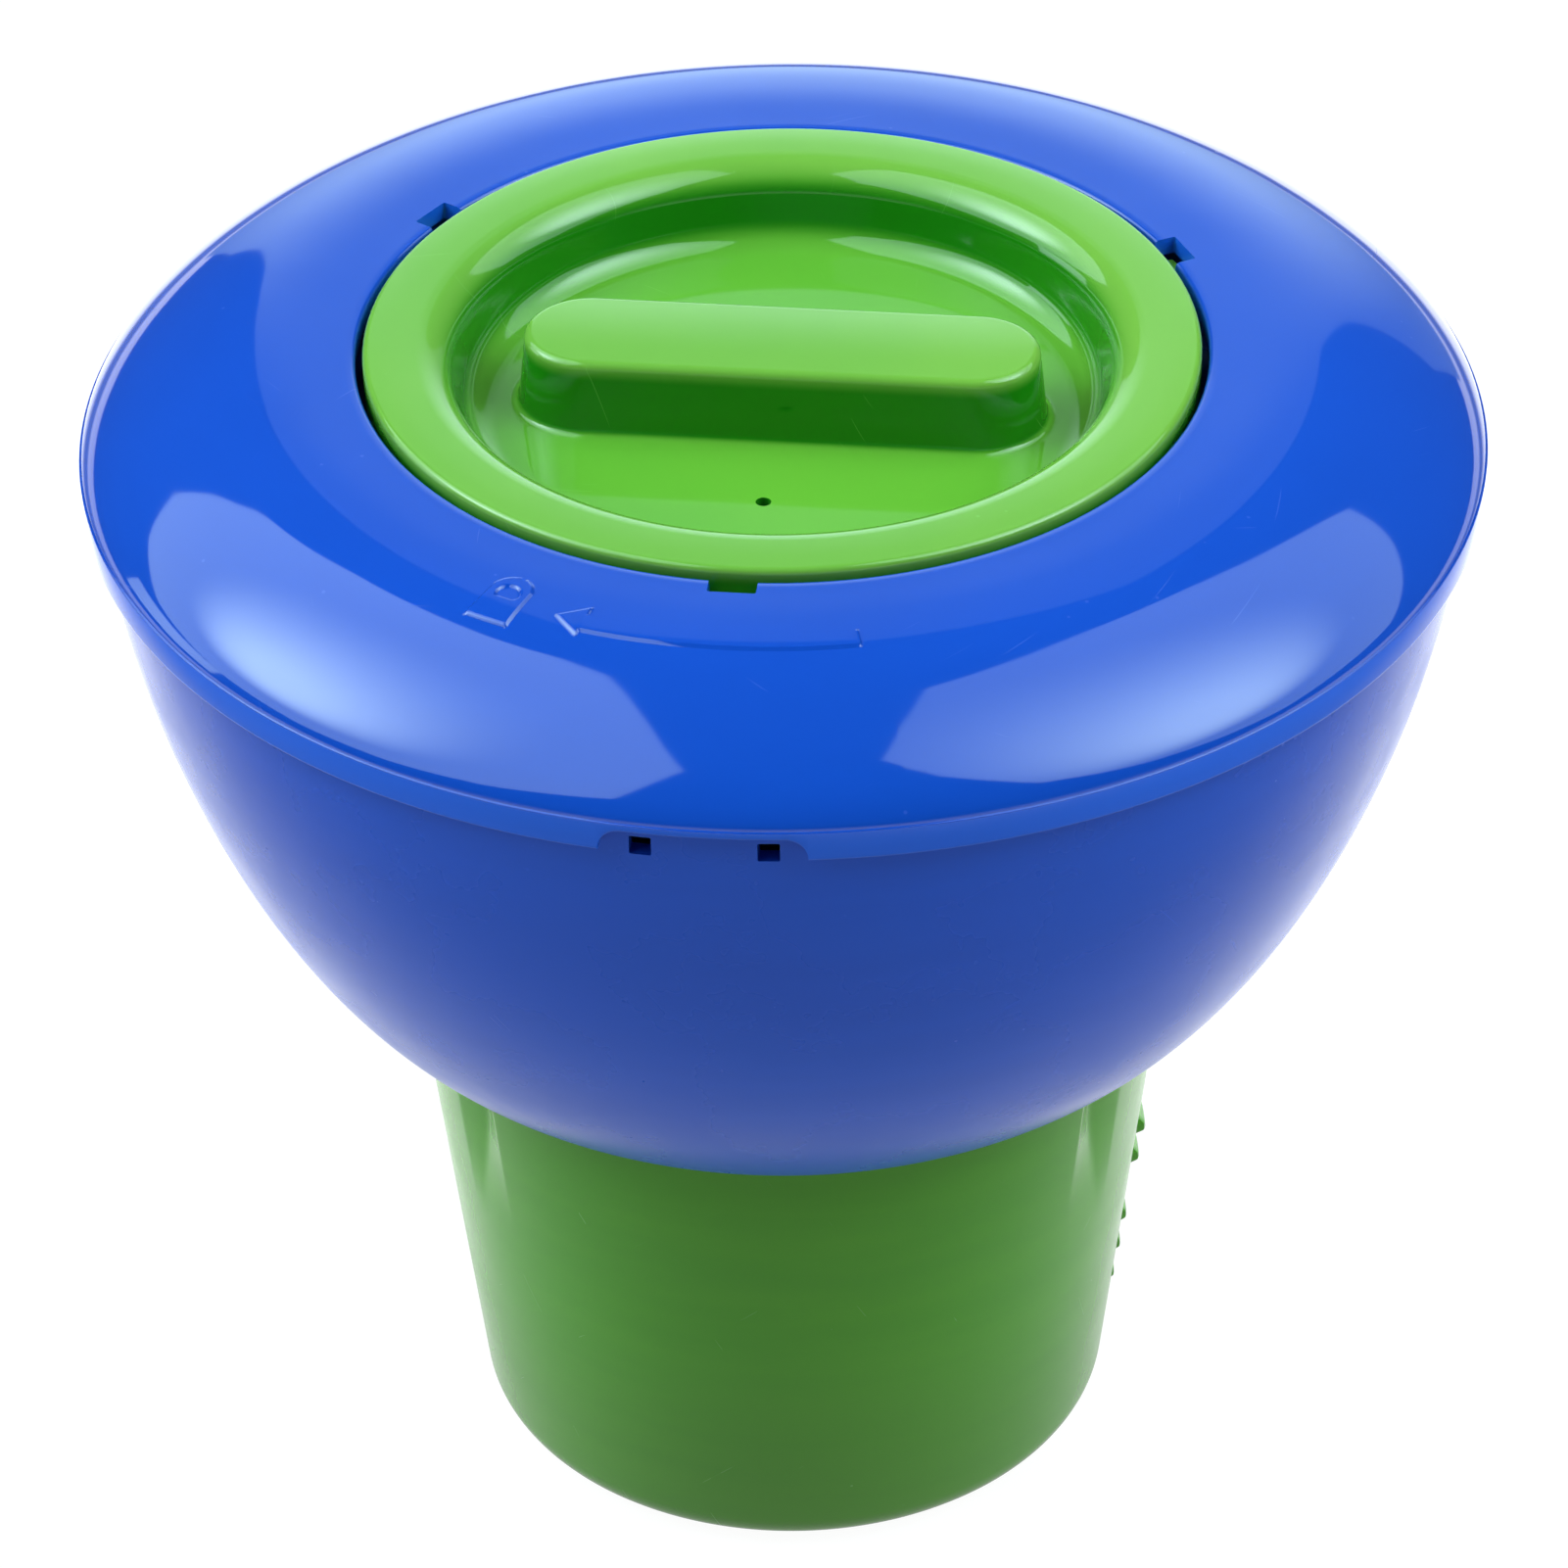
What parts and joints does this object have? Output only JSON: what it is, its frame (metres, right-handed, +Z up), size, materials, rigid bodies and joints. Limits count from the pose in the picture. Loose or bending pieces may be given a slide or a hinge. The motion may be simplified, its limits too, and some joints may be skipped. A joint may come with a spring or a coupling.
{
  "type": "floating chlorine dispenser",
  "caption": "Ring-shaped pool float with a domed cover, a tapered tablet cup below, a twist-lock lid with a grip bar and a sliding vent gate.",
  "frame": {"origin": "centre of the flat foot under the tablet cup, on the surface the dispenser stands on", "axes": "+Z up through the lid; +X along the lid's grip bar; -Y is the front, with the bayonet notch and the tether holes"},
  "size_m": [0.2, 0.1998, 0.1833],
  "materials": {
    "cover_blue": "polished injection-moulded polypropylene, royal blue",
    "bowl_blue": "satin injection-moulded polypropylene, deep blue",
    "lid_green": "semi-gloss injection-moulded polypropylene, bright green",
    "cup_green": "semi-gloss injection-moulded polypropylene, green",
    "seal_rubber": "soft moulded rubber",
    "float_foam": "closed-cell expanded foam"
  },
  "bodies": {
    "float": {"float_cover": "cover_blue", "float_bowl": "bowl_blue", "inner_sleeve": "bowl_blue", "buoyancy_foam": "float_foam", "rim_gasket": "seal_rubber", "collar_gasket": "seal_rubber", "neck_gasket": "seal_rubber", "cup_gasket": "seal_rubber", "tablet_cup": "cup_green"},
    "lid_carrier": {"lid_seal": "seal_rubber"},
    "lid_turn": {"lid": "lid_green"},
    "gate": {"vent_gate": "cup_green"}
  },
  "joints": [
    {"name": "lid_lift", "type": "slide", "parent": "float", "child": "lid_carrier", "axis": [0, 0, 1], "range_m": [0, 0.06]},
    {"name": "lid_lock", "type": "hinge", "parent": "lid_carrier", "child": "lid_turn", "pos_m": [0, 0, 0.18], "axis": [0, 0, 1], "range_deg": [-28, 0]},
    {"name": "gate_slide", "type": "slide", "parent": "float", "child": "gate", "axis": [0.1171, 0.027, 0.9928], "range_m": [0, 0.03]}
  ]
}
